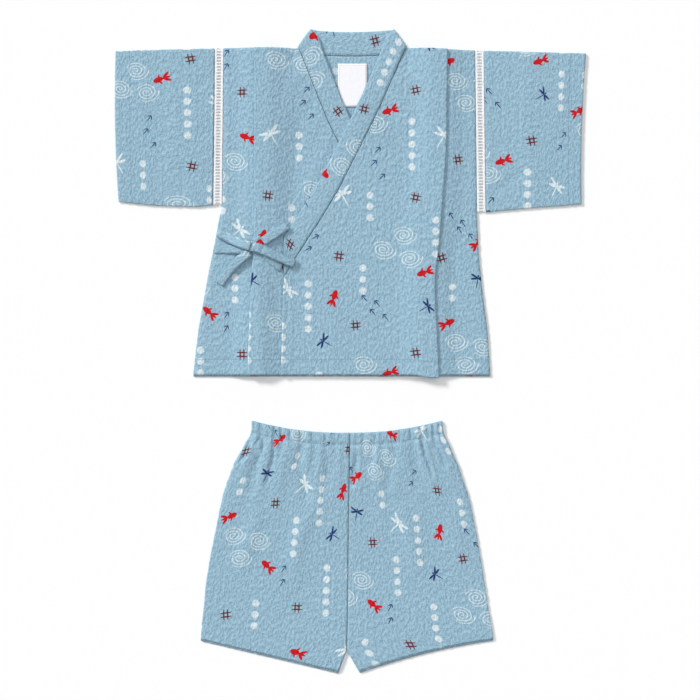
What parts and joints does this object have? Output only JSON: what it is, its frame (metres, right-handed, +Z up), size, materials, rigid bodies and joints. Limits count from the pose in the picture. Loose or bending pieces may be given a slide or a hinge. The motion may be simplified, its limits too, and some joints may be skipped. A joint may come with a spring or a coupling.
{
  "type": "jinbei set",
  "caption": "Small child's jinbei set laid flat: wrap jacket tied in a side bow, collar band, sleeves set on with ladder lace, and shorts with a gathered waist.",
  "frame": {"origin": "centre of the footprint of the whole set, on the surface that it lies on", "axes": "+Z up out of the surface, +Y from the shorts towards the jacket's collar, +X towards the wearer's left"},
  "size_m": [0.5175, 0.7082, 0.0143],
  "materials": {
    "crinkled_cotton": "matt puckered cotton, light blue with a printed summer pattern",
    "ladder_lace": "matt white cotton lace",
    "woven_label": "smooth white woven tape"
  },
  "bodies": {
    "root": {"back": "crinkled_cotton", "front_right": "crinkled_cotton", "front_left": "crinkled_cotton", "collar": "crinkled_cotton", "sleeve_right": "crinkled_cotton", "sleeve_left": "crinkled_cotton", "lace_right": "ladder_lace", "lace_left": "ladder_lace", "neck_label": "woven_label", "tie_side": "crinkled_cotton", "tie_front": "crinkled_cotton", "bow_tail_left": "crinkled_cotton", "bow_tail_right": "crinkled_cotton", "bow_loop_left": "crinkled_cotton", "bow_loop_right": "crinkled_cotton", "bow_knot": "crinkled_cotton", "leg_right": "crinkled_cotton", "leg_left": "crinkled_cotton"}
  },
  "joints": []
}
